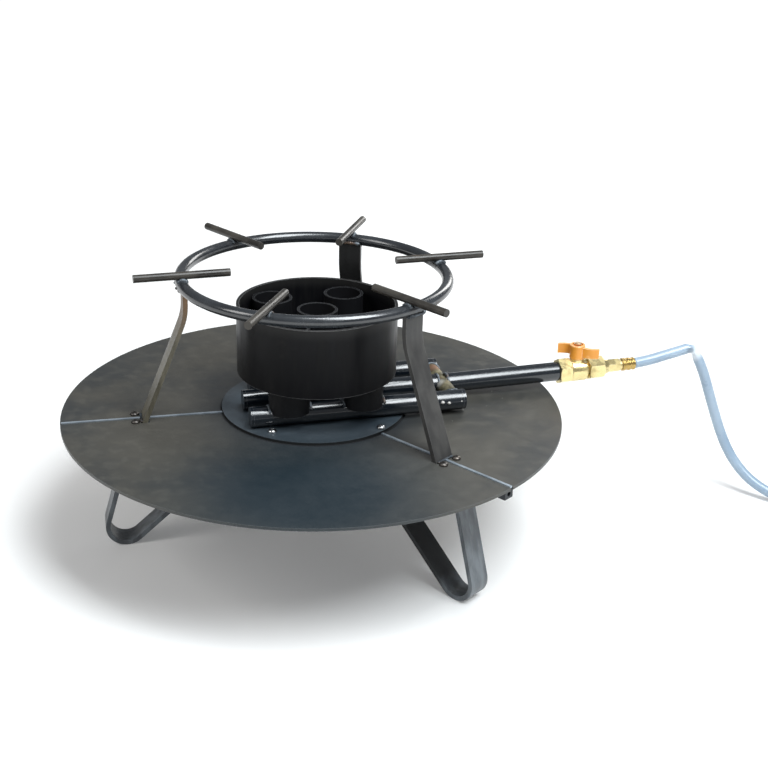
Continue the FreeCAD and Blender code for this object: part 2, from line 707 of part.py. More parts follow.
def make_handle():
    """Butterfly handle: a hub hollowed over the gland nut, with two thin wings in a gentle S."""
    stem, turn = V(cell("stem_at"), 0, 0), cell("handle_angle")
    far, near = cell("wing_far"), -cell("wing_near")
    bow, half = cell("wing_bow"), cell("wing_thickness") / 2
    outside = bow + half + 0.4
    wings = [
        (far, -1 + half), (0, 1 + half, far / 2, half - bow), (near, 1 + half, near / 2, outside),
        (near, 1 - half), (0, -1 - half, near / 2, bow - half), (far, -1 - half, far / 2, -outside),
    ]
    blade = padded(wings, "Dims.wing_height", "XY_Plane")
    blade.Placement = frame(stem + cell("wing_up") * Z, turn)
    low, high, edge = cell("grip_low"), cell("grip_high"), cell("grip_radius")
    hub = turned([(0, low), (edge - 0.6, low), (edge, low + 1), (edge, high - 0.8),
                  (edge - 0.6, high), (0, high)], "V_Axis")
    hub.Placement = frame(stem)
    recess = cylinder("6.4", "10", frame(stem + cell("stem_high") * Z))
    gland_room = cylinder("Dims.grip_room", "Dims.gland_height + 1",
                          frame(stem + (cell("boss_top") - 0.5) * Z))
    hole = cylinder("Dims.stem_radius", "40", frame(stem + 5 * Z))
    sub_part(cut(fuse([blade, hub]), [recess, gland_room, hole]), "valve_handle", LINE)


def make_handle_nut():
    stem = V(cell("stem_at"), 0, cell("stem_high"))
    nut = hexagon("8", "3.5", frame(stem))
    hole = cylinder("Dims.stem_thread", "10", frame(stem - Z))
    sub_part(cut(nut, [hole]), "handle_nut", LINE)


def make_barb():
    """Hexagon nipple between the valve and the hose, with its stem inside the ferrule."""
    start, shoulder, end = cell("barb_start"), cell("ferrule_start"), cell("hose_start")
    stem = turned([(shoulder - 0.5, 0), (shoulder - 0.5, 4.5), (end, 4.5), (end, 0)])
    neck = turned([(shoulder - 4, 0), (shoulder - 4, 5.8), (shoulder, 5.8), (shoulder, 0)])
    solid = fuse([hex_on_line("barb_flats", start, shoulder - 3), neck, stem])
    sub_part(cut(solid, [bar_on_line("3", start - 1, "60")]), "hose_barb", LINE)


def make_ferrule():
    start, end, bore = cell("ferrule_start"), cell("hose_start"), 4.5
    rim, waist = 7.3, 6.9
    profile = [(start, bore), (start, rim - 0.8), (start + 0.8, rim), (start + 4, rim)]
    for groove in (start + 5, start + 11):
        profile += [(groove, waist), (groove + 2, waist), (groove + 3, rim), (groove + 5, rim)]
    profile[-1] = (end - 0.6, rim)
    profile += [(end, rim - 0.6), (end, bore)]
    sub_part(turned(profile), "hose_ferrule", LINE)


# ---------------------------------------------------------------- the hose

def hose_path(points):
    """Straight runs joined by tangent arcs: the wire, its length and the arcs' radii."""
    points = [V(*point) for point in points]
    edges, radii, reached = [], [], points[0]
    for before, corner, after in zip(points, points[1:], points[2:]):
        back, on = (before - corner).normalize(), (after - corner).normalize()
        half_turn = (math.pi - back.getAngle(on)) / 2
        cut_back = 0.45 * min(before.distanceToPoint(corner), after.distanceToPoint(corner))
        radius = cut_back / math.tan(half_turn)
        start, end = corner + back * cut_back, corner + on * cut_back
        to_centre = (back + on).normalize() * (radius / math.cos(half_turn))
        middle = corner + to_centre - (back + on).normalize() * radius
        edges.append(Part.LineSegment(reached, start).toShape())
        edges.append(Part.Arc(start, middle, end).toShape())
        radii.append(round(radius, 1))
        reached = end
    edges.append(Part.LineSegment(reached, points[-1]).toShape())
    wire = Part.Wire(edges)
    return wire, wire.Length, radii


def make_hose(label, points):
    radius = cell("hose_radius")
    wire, length, radii = hose_path(points)
    start = V(*points[0])
    ring = Part.Wire(Part.makeCircle(radius, start, V(*points[1]) - start))
    solid = wire.makePipeShell([ring], True, False)
    hose = doc.addObject("Part::Feature", "Hose")
    hose.Shape = solid
    sub_part(hose, label, frame())
    print(f"{label}: length {length:.1f}, bend radii {radii}")
    print(f"{label}: volume {solid.Volume:.0f}, section times length {math.pi * radius ** 2 * length:.0f}")


def make_coil():
    """The outer shape of the coiled hose: its turns lie one on the other."""
    hose, centre = cell("hose_radius"), cell("coil_radius")
    height, curve = 2 * hose * cell("coil_turns"), hose * 0.98
    low, high, near, far = 0.0, height, centre - hose, centre + hose
    bulge = curve * (1 - math.sqrt(0.5))
    profile = [
        (near + curve, low), (far - curve, low), (far, low + curve, far - bulge, low + bulge),
        (far, high - curve), (far - curve, high, far - bulge, high - bulge), (near + curve, high),
        (near, high - curve, near + bulge, high - bulge), (near, low + curve),
    ]
    profile[0] = (near + curve, low, near + bulge, low + bulge)
    sub_part(turned(profile, "V_Axis"), "hose_coil", frame(V(cell("coil_x"), cell("coil_y"), 0)))


def make_hose_end(direction):
    """Ferrule and union nut on the end of the hose, lying on the floor."""
    place = FreeCAD.Placement(V(*UNION_AT), FreeCAD.Rotation(X, direction))
    ferrule = turned([(0, 0), (0, 6.8), (0.6, 7.3), (17.4, 7.3), (18, 6.8), (18, 0)])
    way = cylinder("3", "40", aimed(V(-5, 0, 0), X))
    sub_part(cut(ferrule, [way]), "end_ferrule", place)
    prism = hexagon("Dims.nut_flats", "20", aimed(V(18, 0, 0), X).multiply(frame(turn=30)))
    corner = 0.5 * cell("nut_flats") / math.cos(math.radians(30)) + 0.2
    blank = turned([(18, 0), (18, 9.6), (20, corner), (36.5, corner), (38, 9.8), (38, 0)])
    thread = cylinder("6.6", "20", aimed(V(24, 0, 0), X))
    neck = cylinder("3", "20", aimed(V(10, 0, 0), X))
    sub_part(cut(common(prism, blank), [thread, neck]), "union_nut", place)


def make_hose_line():
    mouth = LINE.multVec(V(cell("hose_start"), 0, 0))
    coil_left = (cell("coil_x") - cell("coil_radius"), cell("coil_y"))
    low = cell("hose_radius")
    make_hose("gas_hose", [tuple(mouth)] + HOSE_ROUTE + [coil_left + (low,)])
    upper = low * (2 * cell("coil_turns") - 1)
    make_hose("hose_tail", [coil_left + (upper,)] + TAIL_ROUTE + [UNION_AT])
    make_coil()
    make_hose_end(V(*UNION_AT) - V(*TAIL_ROUTE[-1]))


# ---------------------------------------------------------------- the whole burner

def build():
    make_sectors()
    make_disc()
    make_ribs()
    make_tabs()
    make_screws()
    make_lug()
    make_legs()
    make_uprights()
    make_pot_ring()
    make_shroud()
    make_tubes()
    make_jets()
    make_manifold()
    make_header()
    make_inlet_pipe()
    make_valve_body()
    make_valve_end()
    make_seats()
    make_ball()
    make_stem()
    make_gland()
    make_handle()
    make_handle_nut()
    make_barb()
    make_ferrule()
    make_hose_line()
    doc.recompute()


def faults():
    """Objects that failed to recompute, and sub-parts without a valid shape."""
    failed = [thing.Label for thing in doc.Objects if set(thing.State) & {"Invalid", "Error"}]
    for thing in sub_parts:
        if thing.Shape.isNull() or not thing.Shape.isValid() or not thing.Shape.Solids:
            failed.append(thing.Label)
    return failed


build()
found = faults()
if found:
    raise SystemExit(f"these did not build: {sorted(set(found))}")
os.makedirs("parts", exist_ok=True)
for thing in sub_parts:
    thing.Shape.exportStep(f"parts/{thing.Label}.step")
print(f"{len(sub_parts)} sub-parts written")
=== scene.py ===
"""The gas burner stand's looks: materials, welds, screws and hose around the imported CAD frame."""

import json
import math
import random

import bmesh
import bpy
from mathutils import Matrix, Vector, noise


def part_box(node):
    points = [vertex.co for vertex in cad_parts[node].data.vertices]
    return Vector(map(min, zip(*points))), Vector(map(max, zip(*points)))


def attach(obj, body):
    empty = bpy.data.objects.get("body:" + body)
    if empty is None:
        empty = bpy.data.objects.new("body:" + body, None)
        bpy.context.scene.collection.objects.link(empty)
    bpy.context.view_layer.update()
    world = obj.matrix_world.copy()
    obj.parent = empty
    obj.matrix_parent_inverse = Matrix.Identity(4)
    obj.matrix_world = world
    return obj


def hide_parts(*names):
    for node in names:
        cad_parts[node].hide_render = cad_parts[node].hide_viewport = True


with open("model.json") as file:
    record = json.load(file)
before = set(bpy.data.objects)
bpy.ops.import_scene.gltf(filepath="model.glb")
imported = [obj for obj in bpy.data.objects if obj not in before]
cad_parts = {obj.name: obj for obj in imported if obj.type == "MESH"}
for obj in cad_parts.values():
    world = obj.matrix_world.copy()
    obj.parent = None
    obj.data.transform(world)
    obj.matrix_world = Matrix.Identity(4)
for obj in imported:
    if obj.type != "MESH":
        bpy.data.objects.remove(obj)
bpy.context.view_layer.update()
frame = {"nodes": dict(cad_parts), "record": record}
nodes = frame["nodes"]

MM = 0.001
UP = Vector((0, 0, 1))
TABLE_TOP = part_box("table_sector_front")[1].z
DISC_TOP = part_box("centre_disc")[1].z


def polar(radius, bearing, height=0.0):
    """A point at that radius and height, at that bearing in degrees from +X."""
    angle = math.radians(bearing)
    return Vector((radius * math.cos(angle), radius * math.sin(angle), height))


def middle(node):
    low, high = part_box(node)
    return (low + high) / 2


def bearing_of(node):
    """Bearing of a radial piece, whose box is centred on its own line."""
    place = middle(node)
    return math.degrees(math.atan2(place.y, place.x))


# ---------------------------------------------------------------- materials

SOCKETS = {
    "metallic": "Metallic",
    "ior": "IOR",
    "coat": "Coat Weight",
    "coat_roughness": "Coat Roughness",
    "subsurface": "Subsurface Weight",
    "subsurface_scale": "Subsurface Scale",
    "subsurface_radius": "Subsurface Radius",
}


class Look:
    """A node material in the making. Its patterns are placed in the object's own metres."""

    def __init__(self, name, **constants):
        self.material = bpy.data.materials.new(name)
        self.material.use_nodes = True
        self.tree = self.material.node_tree
        self.shader = self.tree.nodes["Principled BSDF"]
        for key, value in constants.items():
            self.shader.inputs[SOCKETS[key]].default_value = value
        self.place = self.add("ShaderNodeTexCoord").outputs["Object"]

    def put(self, socket, value):
        if isinstance(value, bpy.types.NodeSocket):
            self.tree.links.new(value, socket)
        else:
            socket.default_value = value

    def add(self, kind, settings=None, **inputs):
        node = self.tree.nodes.new(kind)
        for name, value in (settings or {}).items():
            setattr(node, name, value)
        for name, value in inputs.items():
            self.put(node.inputs[name], value)
        return node

    def math(self, operation, first, second=0.0):
        node = self.add("ShaderNodeMath", {"operation": operation})
        self.put(node.inputs[0], first)
        self.put(node.inputs[1], second)
        return node.outputs["Value"]

    def band(self, value, low, high, out_low=0.0, out_high=1.0):
        """The value's range from low to high, eased and clamped to the output range."""
        node = self.add("ShaderNodeMapRange", {"interpolation_type": "SMOOTHSTEP"})
        for name, number in zip(("Value", "From Min", "From Max", "To Min", "To Max"),
                                (value, low, high, out_low, out_high)):
            self.put(node.inputs[name], number)
        return node.outputs["Result"]

    def mix(self, factor, first, second):
        node = self.add("ShaderNodeMix", {"data_type": "RGBA"})
        for index, value in ((0, factor), (6, first), (7, second)):
            if isinstance(value, tuple):
                value = (*value, 1.0)
            self.put(node.inputs[index], value)
        return node.outputs[2]

    def noise(self, scale, detail=3.0, stretch=(1, 1, 1), shift=0.0):
        moved = self.add("ShaderNodeMapping", Vector=self.place,
                         Location=(shift, 0.37 * shift, -shift), Scale=stretch)
        node = self.add("ShaderNodeTexNoise", Vector=moved.outputs["Vector"], Scale=scale,
                        Detail=detail, Roughness=0.55)
        return node.outputs["Fac"]

    def split(self):
        return self.add("ShaderNodeSeparateXYZ", Vector=self.place).outputs

    def near(self, point, inner, outer):
        """1 inside the inner distance of a point, 0 past the outer one."""
        gap = self.add("ShaderNodeVectorMath", {"operation": "DISTANCE"})
        self.put(gap.inputs[0], self.place)
        self.put(gap.inputs[1], tuple(point))
        return self.band(gap.outputs["Value"], inner, outer, 1.0, 0.0)

    def edges(self, width):
        """1 on the sharp edges, from the turn between the true and the rounded-over normal."""
        rounded = self.add("ShaderNodeBevel", {"samples": 4}, Radius=width)
        flat = self.add("ShaderNodeNewGeometry")
        dot = self.add("ShaderNodeVectorMath", {"operation": "DOT_PRODUCT"})
        self.put(dot.inputs[0], rounded.outputs["Normal"])
        self.put(dot.inputs[1], flat.outputs["Normal"])
        return self.band(dot.outputs["Value"], 0.99, 0.86)

    def bumps(self, *layers):
        """Bump from layers of (height, depth in metres)."""
        normal = None
        for height, depth in layers:
            node = self.add("ShaderNodeBump", Height=height, Distance=depth, Strength=1.0)
            if normal is not None:
                self.put(node.inputs["Normal"], normal)
            normal = node.outputs["Normal"]
        self.put(self.shader.inputs["Normal"], normal)

    def done(self, colour, roughness=None):
        self.put(self.shader.inputs["Base Color"], (*colour, 1.0) if isinstance(colour, tuple) else colour)
        if roughness is not None:
            self.put(self.shader.inputs["Roughness"], roughness)
        return self.material


def sheet_steel(name, cold, warm, centre_dark_reach):
    """Dark satin sheet: mottled mill skin, fine rolling lines, darker and bluer towards the centre, a painted
    dark reflection near the front rim and painted shade round the disc's edge.
    """
    look = Look(name, ior=1.5)
    clouds, grain = look.noise(9.0, 4.0, shift=3.0), look.noise(70.0, 5.0)
    rolled = look.noise(22.0, 1.0, stretch=(1.0, 16.0, 1.0), shift=8.0)
    colour = look.mix(look.band(clouds, 0.36, 0.64), cold, warm)
    colour = look.mix(look.band(grain, 0.45, 0.7, 0.0, 0.3), colour, tuple(1.7 * c for c in warm))
    # Darker and bluer towards the centre, out to the given reach.
    colour = look.mix(look.near((0, 0, TABLE_TOP), 0.05, centre_dark_reach), colour, (0.018, 0.024, 0.031))
    # Painted reflection: a dark bluish patch near the front rim stands in for what the sheet reflects there.
    colour = look.mix(look.near(polar(0.20, -104, TABLE_TOP), 0.04, 0.19), colour, (0.010, 0.018, 0.024))
    # Painted shade: the disc's side face and the sheet round its edge are painted near black, as shade in the
    # gap, and made rough.
    gap = look.math("MULTIPLY", look.near((0, 0, DISC_TOP), 0.0988, 0.1012),
                    look.band(look.split()["Z"], DISC_TOP - 0.2 * MM, DISC_TOP - 0.5 * MM))
    colour = look.mix(look.math("MULTIPLY", look.edges(0.7 * MM), 0.4), colour, (0.15, 0.17, 0.18))
    colour = look.mix(gap, colour, (0.003, 0.004, 0.005))
    rough = look.math("ADD", look.band(clouds, 0.3, 0.7, 0.40, 0.50), look.band(grain, 0.3, 0.7, -0.03, 0.04))
    rough = look.math("MAXIMUM", rough, look.math("MULTIPLY", gap, 0.9))
    look.bumps((rolled, 0.012 * MM), (grain, 0.006 * MM))
    return look.done(colour, rough)


def black_paint(name, base, rough, ior, dust=(0.07, 0.068, 0.062), dust_amount=0.15):
    """Black paint on pipe or tube, with a little dust and slightly worn edges."""
    look = Look(name, ior=ior)
    peel, dirt = look.noise(260.0, 2.0), look.noise(38.0, 4.0, shift=5.0)
    colour = look.mix(look.band(dirt, 0.56, 0.8, 0.0, dust_amount), base, dust)
    colour = look.mix(look.math("MULTIPLY", look.edges(0.5 * MM), 0.5), colour, (0.20, 0.21, 0.22))
    look.bumps((peel, 0.004 * MM), (dirt, 0.015 * MM))
    return look.done(colour, look.band(dirt, 0.3, 0.75, rough - 0.04, rough + 0.08))


def shroud_paint(name):
    """Satin black heat paint, baked grey towards the upper rim and spotted with dirt."""
    look = Look(name, ior=1.26)
    height = look.split()["Z"]
    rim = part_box("burner_shroud")[1].z
    dirt, streaks = look.noise(30.0, 5.0), look.noise(26.0, 3.0, stretch=(6.0, 6.0, 0.7), shift=4.0)
    colour = look.mix(look.band(streaks, 0.45, 0.75, 0.0, 0.5),
                      (0.004, 0.004, 0.005), (0.009, 0.0088, 0.0085))
    colour = look.mix(look.band(height, rim - 14 * MM, rim, 0.0, 0.4), colour, (0.035, 0.034, 0.032))
    colour = look.mix(look.band(dirt, 0.6, 0.8, 0.0, 0.3), colour, (0.035, 0.031, 0.026))
    colour = look.mix(look.math("MULTIPLY", look.edges(0.7 * MM), 0.7), colour, (0.30, 0.30, 0.30))
    look.bumps((dirt, 0.08 * MM), (look.noise(300.0, 2.0), 0.03 * MM))
    return look.done(colour, look.band(streaks, 0.3, 0.7, 0.33, 0.46))


def bare_steel(name, dark, light, rough, rust=0.3, metallic=0.85, ior=1.5):
    """Bare bar stock: faint streaks, some rust tint, edges rubbed bright."""
    look = Look(name, metallic=metallic, ior=ior)
    streaks, grain = look.noise(30.0, 3.0), look.noise(320.0, 2.0, shift=2.0)
    colour = look.mix(look.band(streaks, 0.35, 0.68), dark, light)
    stain, rubbed = look.noise(24.0, 4.0, shift=9.0), tuple(1.6 * c + 0.03 for c in light)
    colour = look.mix(look.band(stain, 0.6, 0.76, 0.0, rust), colour, (0.12, 0.06, 0.03))
    colour = look.mix(look.math("MULTIPLY", look.edges(0.4 * MM), 0.6), colour, rubbed)
    look.bumps((grain, 0.003 * MM), (streaks, 0.02 * MM))
    return look.done(colour, look.band(streaks, 0.3, 0.7, rough - 0.04, rough + 0.06))


def rib_strip(name):
    """The ribs' top strips scraped bright, and everything below the sheet painted dull and dark as shade."""
    look = Look(name, metallic=0.8)
    streaks = look.noise(45.0, 4.0)
    colour = look.mix(look.band(streaks, 0.35, 0.68), (0.34, 0.40, 0.46), (0.62, 0.70, 0.78))
    # Painted shade: below the sheet's top the rib is painted dark.
    below = look.band(look.split()["Z"], TABLE_TOP - 0.3 * MM, TABLE_TOP - 1.2 * MM)
    colour = look.mix(below, colour, (0.045, 0.048, 0.052))
    look.bumps((streaks, 0.05 * MM))
    return look.done(colour, look.band(below, 0.0, 1.0, 0.32, 0.5))


def leg_bar(name):
    """Flat bar of the legs: a dull bluish skin, with the front leg's inner limb painted near black as shade
    under the table.
    """
    look = Look(name, ior=1.6)
    place = look.split()
    streaks, stain = look.noise(34.0, 4.0, stretch=(3.0, 3.0, 0.35)), look.noise(60.0, 5.0, shift=3.0)
    colour = look.mix(look.band(streaks, 0.36, 0.66), (0.055, 0.064, 0.073), (0.125, 0.143, 0.158))
    colour = look.mix(look.band(stain, 0.62, 0.78, 0.0, 0.2), colour, (0.10, 0.08, 0.06))
    radius = look.math("SQRT", look.math("ADD", look.math("MULTIPLY", place["X"], place["X"]),
                                         look.math("MULTIPLY", place["Y"], place["Y"])))
    # Painted shade: the front leg's inner limb, under the table, is painted near black.
    table_shadow = look.math("MULTIPLY", look.band(radius, 0.204, 0.190), look.band(place["Y"], -0.03, -0.05))
    colour = look.mix(look.math("MULTIPLY", look.edges(0.6 * MM), 0.6), colour, (0.22, 0.24, 0.26))
    colour = look.mix(look.math("MULTIPLY", table_shadow, 0.94), colour, (0.004, 0.004, 0.005))
    look.bumps((streaks, 0.05 * MM), (look.noise(200.0, 3.0, shift=6.0), 0.03 * MM))
    return look.done(colour, look.band(table_shadow, 0.0, 1.0, 0.38, 0.6))


def upright_bar(name):
    """The uprights: the left one painted a lighter olive as its lit tone and heat-browned on top, the front
    grey, the rear near black.
    """
    look = Look(name, ior=1.5)
    place = look.split()
    streaks = look.noise(34.0, 4.0, stretch=(3.0, 3.0, 0.35))
    grey = look.mix(look.band(streaks, 0.36, 0.66), (0.030, 0.029, 0.028), (0.052, 0.050, 0.047))
    # Painted light: the left upright's lighter olive stands in for the light on its outer face.
    olive = look.mix(look.band(streaks, 0.36, 0.66), (0.080, 0.072, 0.050), (0.135, 0.122, 0.088))
    olive = look.mix(look.band(place["Z"], 0.225, 0.275, 0.0, 0.8), olive, (0.15, 0.075, 0.028))
    colour = look.mix(look.band(place["X"], -0.10, -0.12), grey, olive)
    # The rear upright is made near black.
    colour = look.mix(look.band(place["Y"], 0.05, 0.08), colour, (0.010, 0.010, 0.010))
    colour = look.mix(look.math("MULTIPLY", look.edges(0.6 * MM), 0.5), colour, (0.16, 0.16, 0.155))
    look.bumps((streaks, 0.05 * MM), (look.noise(200.0, 3.0, shift=6.0), 0.03 * MM))
    return look.done(colour, look.band(streaks, 0.3, 0.7, 0.4, 0.52))


def burnt_header(name):
    """The header between the pipes: scale and rust from welding, with a rusty red rear end and a painted pale
    highlight on its front upper part.
    """
    look = Look(name, metallic=0.35)
    scale, rust = look.noise(90.0, 5.0), look.noise(45.0, 4.0, shift=7.0)
    rear = middle("header_pipe") + Vector((0, 0.027, 0.006))
    colour = look.mix(look.band(scale, 0.4, 0.65), (0.085, 0.075, 0.042), (0.26, 0.23, 0.14))
    colour = look.mix(look.band(rust, 0.52, 0.7), colour, (0.20, 0.10, 0.045))
    colour = look.mix(look.near(rear, 3 * MM, 12 * MM), colour, (0.22, 0.12, 0.07))
    # Painted highlight: a pale patch on the header's front upper part.
    highlight_streak = middle("header_pipe") + Vector((-0.006, -0.012, 0.005))
    colour = look.mix(look.near(highlight_streak, 2 * MM, 9 * MM), colour, (0.46, 0.45, 0.40))
    look.bumps((scale, 0.15 * MM), (rust, 0.1 * MM))
    return look.done(colour, look.band(scale, 0.3, 0.7, 0.42, 0.65))


def weld_metal(name, dark, light):
    """Weld beads: grey metal with a rust-brown heat skin in places."""
    look = Look(name, metallic=0.4)
    skin, glint = look.noise(120.0, 3.0), look.noise(420.0, 2.0, shift=3.0)
    rust = look.noise(80.0, 3.0, shift=11.0)
    colour = look.mix(look.band(skin, 0.42, 0.62), dark, light)
    colour = look.mix(look.band(rust, 0.56, 0.7, 0.0, 0.8), colour, (0.12, 0.07, 0.04))
    look.bumps((skin, 0.12 * MM), (glint, 0.04 * MM))
    return look.done(colour, look.band(skin, 0.3, 0.7, 0.36, 0.58))


def brass(name, colour, tarnish, rough):
    look = Look(name, metallic=0.9)
    cast, stain = look.noise(240.0, 3.0), look.noise(70.0, 4.0, shift=5.0)
    tone = look.mix(look.band(stain, 0.5, 0.75, 0.0, 0.7), colour, tarnish)
    tone = look.mix(look.math("MULTIPLY", look.edges(0.4 * MM), 0.8), tone, (0.88, 0.82, 0.62))
    look.bumps((cast, 0.06 * MM), (stain, 0.05 * MM))
    return look.done(tone, look.band(stain, 0.35, 0.7, rough - 0.05, rough + 0.14))


def plated(name, colour, rough):
    look = Look(name, metallic=1.0)
    stain = look.noise(160.0, 3.0, shift=4.0)
    tone = look.mix(look.band(stain, 0.55, 0.75, 0.0, 0.5), colour, tuple(0.5 * c for c in colour))
    look.bumps((look.noise(300.0, 2.0, stretch=(1.0, 1.0, 4.0)), 0.02 * MM))
    return look.done(tone, look.band(stain, 0.3, 0.7, rough - 0.04, rough + 0.1))


def screw_plating(name):
    """Bright disc screws, and sector screws further out on the table painted dull and dark as shade, for
    their weaker glints.
    """
    look = Look(name, metallic=1.0)
    stain = look.noise(160.0, 3.0, shift=4.0)
    # Painted shade: past the disc the screws get a dark colour instead of the bright plating.
    out = look.near((0, 0, DISC_TOP), 0.11, 0.14)
    tone = look.mix(out, (0.10, 0.092, 0.086), (0.66, 0.68, 0.70))
    tone = look.mix(look.band(stain, 0.5, 0.72, 0.0, 0.6), tone, (0.18, 0.15, 0.12))
    look.bumps((stain, 0.05 * MM))
    return look.done(tone, look.band(out, 0.0, 1.0, 0.42, 0.24))


def orange_paint(name):
    """Semi-gloss orange dip coat, thin and pale on the edges and scuffed here and there."""
    look = Look(name, ior=1.5, coat=0.3, coat_roughness=0.25)
    peel, scuff = look.noise(350.0, 2.0), look.noise(110.0, 5.0, shift=2.0)
    colour = look.mix(look.noise(60.0, 2.0), (0.66, 0.25, 0.022), (0.78, 0.32, 0.036))
    colour = look.mix(look.band(scuff, 0.6, 0.72, 0.0, 0.5), colour, (0.84, 0.52, 0.22))
    colour = look.mix(look.edges(0.9 * MM), colour, (0.97, 0.86, 0.66))
    look.bumps((peel, 0.04 * MM), (scuff, 0.03 * MM))
    return look.done(colour, look.band(scuff, 0.3, 0.7, 0.34, 0.48))


HOSE_FOLD = (0.4475, -0.0045, 0.1700)  # the tight fold, where the hose has gone white
HOSE_CREASE_SHADE = (0.4400, -0.0075, 0.1745)  # painted shade at the crease just before it


def hose_skin(name):
    """Smooth pale blue hose, faintly milky, with painted shade at the crease and gone white at the fold."""
    look = Look(name, ior=1.5, coat=0.3, coat_roughness=0.16, subsurface=0.06, subsurface_scale=0.002,
                subsurface_radius=(0.8, 0.9, 1.0))
    cloud, scuff = look.noise(18.0, 3.0), look.noise(90.0, 5.0, shift=4.0)
    colour = look.mix(look.band(cloud, 0.3, 0.7), (0.24, 0.32, 0.41), (0.30, 0.385, 0.475))
    colour = look.mix(look.band(scuff, 0.6, 0.75, 0.0, 0.3), colour, (0.50, 0.57, 0.64))
    whitened = look.math("MULTIPLY", look.near(HOSE_FOLD, 5 * MM, 12 * MM), 0.8)
    # Painted shade: the crease before the fold is painted dark.
    creased = look.math("MULTIPLY", look.near(HOSE_CREASE_SHADE, 2 * MM, 6 * MM), 0.75)
    colour = look.mix(whitened, colour, (0.74, 0.79, 0.83))
    colour = look.mix(creased, colour, (0.12, 0.16, 0.21))
    look.bumps((look.noise(500.0, 2.0), 0.02 * MM), (scuff, 0.03 * MM))
    return look.done(colour, look.band(scuff, 0.3, 0.7, 0.26, 0.38))


def plain_plastic(name, colour):
    look = Look(name, ior=1.45)
    grain = look.noise(300.0, 3.0)
    tone = look.mix(look.band(grain, 0.3, 0.7), tuple(0.92 * c for c in colour), colour)
    look.bumps((grain, 0.02 * MM))
    return look.done(tone, look.band(grain, 0.3, 0.7, 0.4, 0.5))


materials = {
    "table_sheet": sheet_steel("table_sheet", (0.027, 0.029, 0.029), (0.053, 0.050, 0.042), 0.16),
    "disc_sheet": sheet_steel("disc_sheet", (0.032, 0.045, 0.057), (0.048, 0.060, 0.071), 0.06),
    "rib_steel": rib_strip("rib_steel"),
    "screw_steel": screw_plating("screw_steel"),
    "leg_bar": leg_bar("leg_bar"),
    "upright_bar": upright_bar("upright_bar"),
    "ring_steel": bare_steel("ring_steel", (0.010, 0.012, 0.015), (0.020, 0.023, 0.027), 0.22, rust=0.1,
                             metallic=0.0, ior=1.74),
    "rod_steel": bare_steel("rod_steel", (0.018, 0.016, 0.014), (0.048, 0.043, 0.036), 0.3, rust=0.25,
                            metallic=0.0, ior=1.42),
    "shroud_black": shroud_paint("shroud_black"),
    "tube_black": black_paint("tube_black", (0.006, 0.006, 0.007), 0.42, 1.35, dust_amount=0.08),
    "jet_brass": brass("jet_brass", (0.70, 0.50, 0.20), (0.25, 0.16, 0.07), 0.35),
    "pipe_black": black_paint("pipe_black", (0.005, 0.008, 0.012), 0.19, 1.68, dust_amount=0.06),
    "header_burnt": burnt_header("header_burnt"),
    "valve_brass": brass("valve_brass", (0.72, 0.60, 0.30), (0.32, 0.23, 0.08), 0.26),
    "ferrule_brass": brass("ferrule_brass", (0.46, 0.31, 0.10), (0.22, 0.14, 0.04), 0.30),
    "seat_white": plain_plastic("seat_white", (0.86, 0.86, 0.84)),
    "ball_chrome": plated("ball_chrome", (0.82, 0.83, 0.85), 0.12),
    "stem_steel": plated("stem_steel", (0.80, 0.66, 0.50), 0.34),
    "handle_orange": orange_paint("handle_orange"),
    "hose_rubber": hose_skin("hose_rubber"),
    "weld": weld_metal("weld", (0.045, 0.053, 0.062), (0.15, 0.17, 0.19)),
    # Painted shade: a darker copy of the weld for the uprights' feet.
    "weld_shaded": weld_metal("weld_shaded", (0.014, 0.017, 0.020), (0.050, 0.060, 0.070)),
    "spatter_pale": plain_plastic("spatter_pale", (0.55, 0.53, 0.50)),
}


def finish_nodes():
    """Gives every CAD node the material of its slot in the record."""
    for row in frame["record"]["subparts"]:
        node = nodes[row["node"]]
        node.data.materials.clear()
        node.data.materials.append(materials[row["material_slot"]])


# ---------------------------------------------------------------- mesh helpers

def new_piece(name, bm, material):
    """Turns a bmesh into a smooth-shaded piece that rides on the stand."""
    mesh = bpy.data.meshes.new(name)
    bmesh.ops.recalc_face_normals(bm, faces=bm.faces)
    bm.to_mesh(mesh)
    bm.free()
    for polygon in mesh.polygons:
        polygon.use_smooth = True
    mesh.materials.append(materials[material])
    piece = bpy.data.objects.new(name, mesh)
    bpy.context.scene.collection.objects.link(piece)
    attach(piece, "stand")
    return piece


def add_tube(bm, line, section_at, sides=12):
    """Skins a line of points with closed sections. section_at(i) gives (wide, thick, across)."""
    rings = []
    across = None
    for i, point in enumerate(line):
        ahead = (line[min(i + 1, len(line) - 1)] - line[max(i - 1, 0)]).normalized()
        wide, thick, wanted = section_at(i)
        if wanted is None:
            wanted = across if across is not None else (UP if abs(ahead.z) < 0.9 else Vector((1, 0, 0)))
        across = (wanted - ahead * wanted.dot(ahead)).normalized()
        side = ahead.cross(across)
        ring = []
        for k in range(sides):
            angle = 2 * math.pi * k / sides
            offset = side * (wide * math.cos(angle)) + across * (thick * math.sin(angle))
            ring.append(bm.verts.new(point + offset))
        rings.append(ring)
    for a, b in zip(rings, rings[1:]):
        for k in range(sides):
            bm.faces.new((a[k], a[(k + 1) % sides], b[(k + 1) % sides], b[k]))
    bm.faces.new(rings[0][::-1])
    bm.faces.new(rings[-1])


